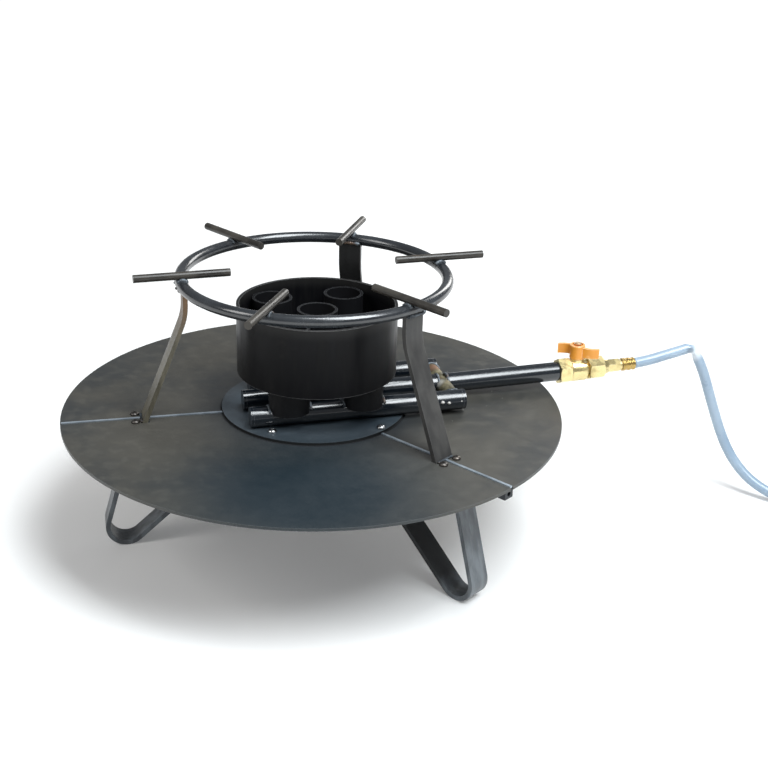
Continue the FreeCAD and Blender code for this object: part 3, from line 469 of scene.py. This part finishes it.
def add_bead(bm, path, radius, seed, pitch=2.2 * MM):
    """A rippled weld bead along a path of points, lumpy and rounded at both ends."""
    step = 0.45 * MM
    lengths = [0.0]
    for a, b in zip(path, path[1:]):
        lengths.append(lengths[-1] + (b - a).length)
    total = lengths[-1]
    count = max(6, int(total / step))
    line, radii = [], []
    for i in range(count + 1):
        at = total * i / count
        k = max(j for j in range(len(lengths)) if lengths[j] <= at + 1e-9)
        k = min(k, len(path) - 2)
        share = (at - lengths[k]) / max(lengths[k + 1] - lengths[k], 1e-9)
        point = path[k].lerp(path[k + 1], share)
        line.append(point)
        end = min(at, total - at)
        taper = math.sqrt(max(0.03, 1 - max(0.0, 1 - end / radius) ** 2))
        ripple = 0.88 + 0.2 * abs(math.sin(math.pi * at / pitch + seed))
        lump = 1 + 0.28 * noise.noise(Vector((at * 260, seed * 3.1, 0.5)))
        radii.append(radius * taper * ripple * lump)
    add_tube(bm, line, lambda i: (radii[i], 0.85 * radii[i], None), sides=10)


def add_drop(bm, place, radius):
    """A spatter ball, a little flattened."""
    made = bmesh.ops.create_icosphere(bm, subdivisions=2, radius=radius)
    bmesh.ops.scale(bm, vec=(1, 1, 0.8), verts=made["verts"])
    bmesh.ops.translate(bm, vec=place, verts=made["verts"])


def arc_about(centre, first, second, radius, start, end, steps=24):
    """Points on an arc in the plane of two unit vectors."""
    points = []
    for i in range(steps + 1):
        angle = math.radians(start + (end - start) * i / steps)
        points.append(centre + first * (radius * math.cos(angle)) + second * (radius * math.sin(angle)))
    return points


# ---------------------------------------------------------------- welds

ring_low, ring_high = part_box("pot_ring")
RING_BAR = (ring_high.z - ring_low.z) / 2
RING_RADIUS = ring_high.x - RING_BAR
RING_HEIGHT = (ring_low.z + ring_high.z) / 2
ROD_RADIUS = (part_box("pot_rod_1")[1].z - ring_high.z) / 2
ARMS = ("left", "front", "rear")
BAR_HALF_WIDTH = 12.5 * MM
FOOT_RADIUS = 179.2 * MM  # from the table's centre to the middle of an upright's foot
LEG_WELD_RADII = (55.9, 67.0, 197.9, 206.6)  # both faces of the front leg's two limbs, in mm
LEG_SHIFT = {"left": -9.0, "front": 0.0, "rear": -4.0}  # mm further out than the front leg
LUG_WELD_START = 249.0 * MM
SPATTER_FROM = 100 * MM  # no spatter lies nearer to the table's centre than this
PIPE_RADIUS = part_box("manifold_pipe_front")[1].z - middle("manifold_pipe_front").z


def ring_section(bearing, around, radius):
    """A point round the pot ring's bar: 0 degrees is on its top and 90 on its outer side."""
    angle = math.radians(around)
    return polar(RING_RADIUS + radius * math.sin(angle), bearing, RING_HEIGHT + radius * math.cos(angle))


def weld_rods():
    """A short bead on each side of every pot rod, over the top of the ring."""
    bm = bmesh.new()
    for number in range(1, 7):
        bearing = bearing_of(f"pot_rod_{number}")
        aside = polar(0.8 * ROD_RADIUS, bearing + 90)
        for side in (-1, 1):
            path = [ring_section(bearing, around, RING_BAR + 0.3 * MM) + side * aside
                    for around in range(-62, 63, 8)]
            add_bead(bm, path, (1.9 if side > 0 else 2.2) * MM, number + 0.4 * side)
    return new_piece("pot_rod_welds", bm, "weld")


def weld_ring():
    """Beads between the ring and the tops of the uprights, across the bar."""
    bm = bmesh.new()
    for arm in ARMS:
        bearing = bearing_of(f"upright_{arm}")
        half = math.degrees(BAR_HALF_WIDTH / RING_RADIUS)
        turns = [bearing - half + 2 * half * i / 10 for i in range(11)]
        outer = [ring_section(turn, 168, RING_BAR + 0.5 * MM) for turn in turns]
        inner = [ring_section(turn, -118, RING_BAR + 0.4 * MM) for turn in turns]
        add_bead(bm, outer, 2.5 * MM, bearing)
        add_bead(bm, inner, 2.2 * MM, bearing + 1)
        for turn in (turns[1], turns[-3]):
            add_drop(bm, ring_section(turn, 130, RING_BAR + 0.4 * MM), 1.8 * MM)
    return new_piece("ring_welds", bm, "weld")


def weld_feet():
    """Beads along the uprights' feet on the table, in a darker weld colour painted as shade."""
    bm = bmesh.new()
    for arm in ARMS:
        bearing = bearing_of(f"upright_{arm}")
        for offset, reach in ((3.6 * MM, 0.9), (-3.6 * MM, 0.6)):
            start = polar(FOOT_RADIUS + offset, bearing, TABLE_TOP + 0.5 * MM)
            ends = [start + polar(side * reach * BAR_HALF_WIDTH, bearing + 90) for side in (-1, 1)]
            add_bead(bm, ends, 1.6 * MM, bearing + offset)
    return new_piece("upright_foot_welds", bm, "weld_shaded")


def weld_legs():
    """Beads under the ribs where the two limbs of each leg meet them."""
    bm = bmesh.new()
    for arm in ARMS:
        bearing = bearing_of(f"table_rib_{arm}")
        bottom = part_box(f"table_rib_{arm}")[0].z
        for radius in LEG_WELD_RADII:
            for side in (-1, 1):
                start = polar((radius + LEG_SHIFT[arm]) * MM, bearing, bottom + 0.6 * MM)
                ends = [start + polar(side * a * MM, bearing + 90) for a in (0.5, 6.0)]
                add_bead(bm, ends, 1.7 * MM, radius + side)
    return new_piece("leg_welds", bm, "weld")


def weld_header():
    """Beads round the header's joints with the three pipes and the inlet."""
    bm = bmesh.new()
    centre = middle("header_pipe")
    low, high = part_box("header_pipe")
    radius = (high.z - low.z) / 2
    for side in (-1, 1):
        saddle = []
        for i in range(37):
            angle = math.radians(10 * i)
            rise = radius * math.sin(angle)
            along = abs(middle("manifold_pipe_rear").y) - math.sqrt(PIPE_RADIUS ** 2 - rise ** 2)
            saddle.append(Vector((centre.x + (radius + 0.3 * MM) * math.cos(angle),
                                  side * (along - 0.4 * MM), centre.z + rise)))
        add_bead(bm, saddle, 1.7 * MM, 2.0 + side)
    for x in (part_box("manifold_pipe_middle")[1].x - 1.2 * MM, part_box("inlet_pipe")[0].x + 1.6 * MM):
        at = Vector((x, 0, centre.z))
        add_bead(bm, arc_about(at, Vector((0, 1, 0)), UP, PIPE_RADIUS + 0.1 * MM, -80, 260, 40), 1.5 * MM, x)
    return new_piece("header_welds", bm, "weld")


def weld_tubes():
    """Beads where the jet tubes sit on the pipes, and tacks between them and the shroud."""
    bm = bmesh.new()
    shroud = middle("burner_shroud")
    for number, name in enumerate(("centre", "front_left", "front_right", "rear_left", "rear_right")):
        tube = middle(f"jet_tube_{name}")
        t_low, t_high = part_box(f"jet_tube_{name}")
        radius = (t_high.x - t_low.x) / 2
        pipe = Vector((tube.x, tube.y, middle("manifold_pipe_front").z))
        for side in (-1, 1):
            at = pipe + Vector((side * (radius + 0.3 * MM), 0, 0))
            path = arc_about(at, Vector((0, 1, 0)), UP, PIPE_RADIUS + 0.1 * MM, 35, 145, 16)
            add_bead(bm, path, 1.6 * MM, number + side)
        outward = Vector((tube.x - shroud.x, tube.y - shroud.y, 0))
        if outward.length > radius:
            contact = Vector((tube.x, tube.y, 0)) + outward.normalized() * (radius - 0.4 * MM)
            for side in (-1, 1):
                aside = outward.normalized().cross(UP) * (side * 5 * MM)
                ends = [contact + aside + UP * z for z in (t_high.z - 12 * MM, t_high.z - 1 * MM)]
                add_bead(bm, ends, 1.9 * MM, number * 2 + side)
    return new_piece("tube_welds", bm, "weld")


def weld_lug():
    """A short upright bead on each side of the front rib, where the lug begins."""
    bm = bmesh.new()
    bearing = bearing_of("table_rib_front")
    for side in (-1, 1):
        aside = polar(side * 3.0 * MM, bearing + 90)
        ends = [polar(LUG_WELD_START, bearing, TABLE_TOP - drop * MM) + aside for drop in (4, 11)]
        add_bead(bm, ends, 1.6 * MM, side)
    return new_piece("lug_welds", bm, "weld")


def spatter():
    """Balls of weld spatter on the front pipe near the header and on the table round it."""
    bm = bmesh.new()
    pipe = middle("manifold_pipe_front")
    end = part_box("manifold_caps")[1].x
    for x, around, size in ((-27, 166, 2.1), (-20, 172, 1.9), (-4, 130, 0.9),
                            (-6, 168, 0.9), (-12, 140, 0.6)):
        angle = math.radians(around)
        across, up = PIPE_RADIUS * math.cos(angle), PIPE_RADIUS * math.sin(angle)
        add_drop(bm, Vector((end + x * MM, pipe.y + across, pipe.z + up)), size * MM)
    rng = random.Random(7)
    for _ in range(26):
        spot = polar(rng.uniform(30, 75) * MM, rng.uniform(0, 360), 0)
        spot += Vector((middle("header_pipe").x, 0, TABLE_TOP))
        if math.hypot(spot.x, spot.y) > SPATTER_FROM:
            add_drop(bm, spot, rng.uniform(0.2, 0.45) * MM)
    return new_piece("weld_spatter", bm, "spatter_pale")


# ---------------------------------------------------------------- screws

SCREW_HEAD_TOP = 3.1  # mm above the face that the head sits on


def screw_mesh():
    """A pan head on a plain shank, which sits on z = 0, and the cross that is cut out of it."""
    profile = [(0, -9), (2.0, -9), (2.5, -8.4), (2.5, 0), (4.2, 0), (4.5, 0.3), (4.5, 0.9),
               (4.3, 1.5), (3.8, 2.1), (2.9, 2.7), (1.6, 3.02), (0, SCREW_HEAD_TOP)]
    bm = bmesh.new()
    edges = []
    verts = [bm.verts.new((r * MM, 0, z * MM)) for r, z in profile]
    for a, b in zip(verts, verts[1:]):
        edges.append(bm.edges.new((a, b)))
    bmesh.ops.spin(bm, geom=verts + edges, cent=(0, 0, 0), axis=(0, 0, 1), angle=2 * math.pi,
                   steps=32, use_duplicate=False)
    bmesh.ops.remove_doubles(bm, verts=bm.verts, dist=1e-6)
    bmesh.ops.recalc_face_normals(bm, faces=bm.faces)
    head = bpy.data.meshes.new("screw")
    bm.to_mesh(head)
    bm.free()
    cutter = bmesh.new()
    for turn in (0, 90):
        made = bmesh.ops.create_cube(cutter, size=1.0)["verts"]
        for v in made:
            narrow = 0.45 if v.co.z < 0 else 1.0
            v.co = Vector((v.co.x * 4.8 * narrow, v.co.y * 0.9, 2.6 + v.co.z * 2.4)) * MM
        turned = Matrix.Rotation(math.radians(turn), 3, "Z")
        bmesh.ops.rotate(cutter, verts=made, cent=(0, 0, 0), matrix=turned)
    cross = bpy.data.meshes.new("cross")
    cutter.to_mesh(cross)
    cutter.free()
    return head, cross


def recessed(head, cross):
    """The head with the cross cut out of it, as one plain mesh."""
    scene = bpy.context.scene.collection
    head_object = bpy.data.objects.new("screw_head", head)
    cross_object = bpy.data.objects.new("screw_cross", cross)
    scene.objects.link(head_object)
    scene.objects.link(cross_object)
    cut = head_object.modifiers.new("cut", "BOOLEAN")
    cut.object = cross_object
    cut.operation = "DIFFERENCE"
    cut.use_self = True
    bpy.context.view_layer.update()
    made = bpy.data.meshes.new_from_object(head_object.evaluated_get(bpy.context.evaluated_depsgraph_get()))
    bpy.data.objects.remove(head_object)
    bpy.data.objects.remove(cross_object)
    return made


def screw_set(name, node, places, mesh):
    """The same screw at each place, each turned its own way."""
    bm = bmesh.new()
    rng = random.Random(len(places))
    for place in places:
        before = set(bm.verts)
        bm.from_mesh(mesh)
        fresh = [v for v in bm.verts if v not in before]
        turn = Matrix.Rotation(rng.uniform(0, math.pi), 3, "Z")
        bmesh.ops.rotate(bm, verts=fresh, cent=(0, 0, 0), matrix=turn)
        bmesh.ops.translate(bm, vec=place, verts=fresh)
    piece = new_piece(name, bm, "screw_steel")
    piece.data.set_sharp_from_angle(angle=math.radians(35))
    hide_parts(node)
    return piece


def node_islands(node):
    """Where each separate screw of a node sits: its middle, one head's height below its top."""
    bm = bmesh.new()
    bm.from_mesh(nodes[node].data)
    bmesh.ops.remove_doubles(bm, verts=bm.verts, dist=1e-6)
    left, places = set(bm.verts), []
    while left:
        island, queue = [], [left.pop()]
        while queue:
            vert = queue.pop()
            island.append(vert.co.copy())
            for edge in vert.link_edges:
                other = edge.other_vert(vert)
                if other in left:
                    left.remove(other)
                    queue.append(other)
        low = Vector([min(c[i] for c in island) for i in range(3)])
        high = Vector([max(c[i] for c in island) for i in range(3)])
        places.append(Vector(((low.x + high.x) / 2, (low.y + high.y) / 2, high.z - SCREW_HEAD_TOP * MM)))
    bm.free()
    return sorted(places, key=lambda p: math.atan2(p.y, p.x))


def make_screws():
    mesh = recessed(*screw_mesh())
    screw_set("sector_screw_set", "sector_screws", node_islands("sector_screws"), mesh)
    screw_set("disc_screw_set", "disc_screws", node_islands("disc_screws"), mesh)


# ---------------------------------------------------------------- the hose

HOSE_DIAMETER = 0.012
HOSE_EXIT = (0.373949, 0.0, 0.160488)
HOSE_ROUTE = [
    (0.391, -0.0003, 0.1625),
    (0.412, -0.0008, 0.1675),
    (0.432, -0.0015, 0.1723),
    (0.4415, -0.0025, 0.1752),
    (0.447, -0.0035, 0.1722),
    (0.4535, -0.006, 0.1610),
    (0.4615, -0.008, 0.1440),
    (0.470, -0.011, 0.120),
    (0.480, -0.015, 0.0915),
    (0.4895, -0.020, 0.066),
    (0.4990, -0.029, 0.044),
    (0.5095, -0.043, 0.0275),
    (0.5215, -0.057, 0.0163),
    (0.536, -0.073, 0.0096),
    (0.5505, -0.088, 0.0068),
    (0.5625, -0.104, 0.0060),
    (0.569, -0.119, 0.0062),
    (0.5705, -0.140, 0.0060),
]
HOSE_TAIL = [
    (0.560, -0.184, 0.016),
    (0.567, -0.208, 0.012),
    (0.575, -0.231, 0.0095),
    (0.583, -0.253, 0.0095),
]
COIL_CENTRE = Vector((0.640, -0.160, 0.0))
COIL_RADIUS = 0.070
COIL_POINTS_PER_TURN = 16
COIL_TURNS = 2
COIL_CLIMB_START = 0.7  # share of a turn that lies level before it climbs
FOLD_REACH = 6 * MM  # how far the pinch spreads along the hose


def coil_points():
    """Two turns, one on the other. The first climbs at its end, and the second rolls outward at its."""
    points = []
    gap = 1.02 * HOSE_DIAMETER
    for i in range(COIL_TURNS * COIL_POINTS_PER_TURN + 1):
        turn = i / COIL_POINTS_PER_TURN
        share = max(0.0, (turn % 1.0 or (1.0 if turn else 0.0)) - COIL_CLIMB_START) / (1 - COIL_CLIMB_START)
        roll = math.pi / 2 * share * share * (3 - 2 * share)
        if turn <= 1.0:
            radius, height = COIL_RADIUS, HOSE_DIAMETER / 2 + gap * (1 - math.cos(roll))
        else:
            radius = COIL_RADIUS + gap * math.sin(roll)
            height = HOSE_DIAMETER / 2 + gap + 2 * MM * math.sin(roll)
        angle = math.pi + 2 * math.pi * turn
        points.append(COIL_CENTRE + Vector((radius * math.cos(angle), radius * math.sin(angle), height)))
    return points


def spline_line(points, resolution):
    """The points that a NURBS spline of that route gives."""
    curve = bpy.data.curves.new("route", "CURVE")
    curve.dimensions = "3D"
    curve.resolution_u = resolution
    spline = curve.splines.new("NURBS")
    spline.points.add(len(points) - 1)
    for point, place in zip(spline.points, points):
        point.co = (*place, 1.0)
    spline.order_u = 3
    spline.use_endpoint_u = True
    route = bpy.data.objects.new("route", curve)
    bpy.context.scene.collection.objects.link(route)
    bpy.context.view_layer.update()
    mesh = bpy.data.meshes.new_from_object(route)
    line = [vert.co.copy() for vert in mesh.vertices]
    bpy.data.objects.remove(route)
    bpy.data.meshes.remove(mesh)
    return line


def make_hose():
    """The gas hose: a round tube along its spline, pinched flat and creased at the fold."""
    line = spline_line([HOSE_EXIT, *HOSE_ROUTE, *coil_points(), *HOSE_TAIL], 10)
    fold = Vector(HOSE_FOLD)
    radius = HOSE_DIAMETER / 2
    nearest = min(range(len(line)), key=lambda i: (line[i] - fold).length)
    inward = (line[nearest - 8] + line[nearest + 8] - 2 * line[nearest]).normalized()
    bm = bmesh.new()
    reach = [(p - line[nearest]).length for p in line]

    def section(i):
        pinch = math.exp(-((reach[i] / FOLD_REACH) ** 2))
        across = inward if i < 2 * nearest else None
        return radius * (1 + 0.16 * pinch), radius * (1 - 0.34 * pinch), across

    add_tube(bm, line, section, sides=24)
    hose = new_piece("gas_hose_line", bm, "hose_rubber")
    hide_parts("gas_hose", "hose_coil", "hose_tail")
    return hose


# ---------------------------------------------------------------- floor, light and camera

CAMERA_BEARING = -12.74  # round from the front, in degrees
CAMERA_RISE = 24.21
CAMERA_ROLL = 0.343
CAMERA_TURN = 3.163  # aimed right of the table's centre by this
CAMERA_LIFT = 0.976  # and above it by this
CAMERA_DISTANCE = 1.36635
CAMERA_LENS = 59.51
FLOOR_RADIUS = 14.0


def make_camera():
    bearing, rise = math.radians(CAMERA_BEARING), math.radians(CAMERA_RISE)
    back = Vector((math.sin(bearing) * math.cos(rise), -math.cos(bearing) * math.cos(rise), math.sin(rise)))
    aim = (-back).to_track_quat("-Z", "Y").to_matrix()
    aim = aim @ Matrix.Rotation(math.radians(CAMERA_ROLL), 3, "Z")
    aim = aim @ Matrix.Rotation(math.radians(-CAMERA_TURN), 3, "Y")
    aim = aim @ Matrix.Rotation(math.radians(CAMERA_LIFT), 3, "X")
    data = bpy.data.cameras.new("camera")
    data.lens = CAMERA_LENS
    data.clip_end = 60.0
    camera = bpy.data.objects.new("camera", data)
    place = Vector((0, 0, TABLE_TOP)) + back * CAMERA_DISTANCE
    camera.matrix_world = Matrix.Translation(place) @ aim.to_4x4()
    bpy.context.scene.collection.objects.link(camera)
    bpy.context.scene.camera = camera


def make_floor():
    """A pale floor, lit a little from within near the stand and more further out, like a studio sweep."""
    look = Look("floor_pale")
    colour = look.mix(look.noise(2.0, 2.0), (0.80, 0.795, 0.785), (0.84, 0.835, 0.825))
    sweep = look.near((0, 0, 0), 0.5, 2.0)
    look.put(look.shader.inputs["Emission Color"], (1.0, 1.0, 1.0, 1.0))
    look.put(look.shader.inputs["Emission Strength"], look.band(sweep, 0.0, 1.0, 0.8, 0.12))
    material = look.done(colour, look.band(look.noise(6.0), 0.3, 0.7, 0.75, 0.9))
    bm = bmesh.new()
    bmesh.ops.create_circle(bm, cap_ends=True, segments=96, radius=FLOOR_RADIUS)
    mesh = bpy.data.meshes.new("floor")
    bm.to_mesh(mesh)
    bm.free()
    mesh.materials.append(material)
    floor = bpy.data.objects.new("floor", mesh)
    bpy.context.scene.collection.objects.link(floor)


def area_light(name, place, target, size, power, colour):
    data = bpy.data.lights.new(name, "AREA")
    data.shape = "RECTANGLE"
    data.size, data.size_y = size
    data.energy = power
    data.color = colour
    light = bpy.data.objects.new(name, data)
    light.location = place
    light.rotation_euler = (Vector(target) - Vector(place)).to_track_quat("-Z", "Y").to_euler()
    bpy.context.scene.collection.objects.link(light)


def make_light():
    world = bpy.data.worlds.new("studio")
    world.use_nodes = True
    background = world.node_tree.nodes["Background"]
    background.inputs["Color"].default_value = (0.93, 0.96, 1.0, 1.0)
    background.inputs["Strength"].default_value = 0.28
    bpy.context.scene.world = world
    area_light("key", (-1.7, -0.3, 1.5), (0, 0, 0.15), (0.7, 1.0), 13, (1.0, 0.99, 0.97))
    area_light("top", (0.5, -0.75, 1.85), (0.1, 0, 0.2), (0.9, 1.5), 62, (0.92, 0.97, 1.0))
    area_light("back", (1.4, 1.3, 1.0), (0, 0, 0.2), (0.5, 1.0), 11, (1.0, 0.99, 0.97))
    bpy.context.scene.view_settings.view_transform = "Standard"


finish_nodes()
for weld in (weld_rods, weld_ring, weld_feet, weld_legs, weld_header, weld_tubes, weld_lug, spatter):
    weld()
make_screws()
make_hose()
make_camera()
make_floor()
make_light()
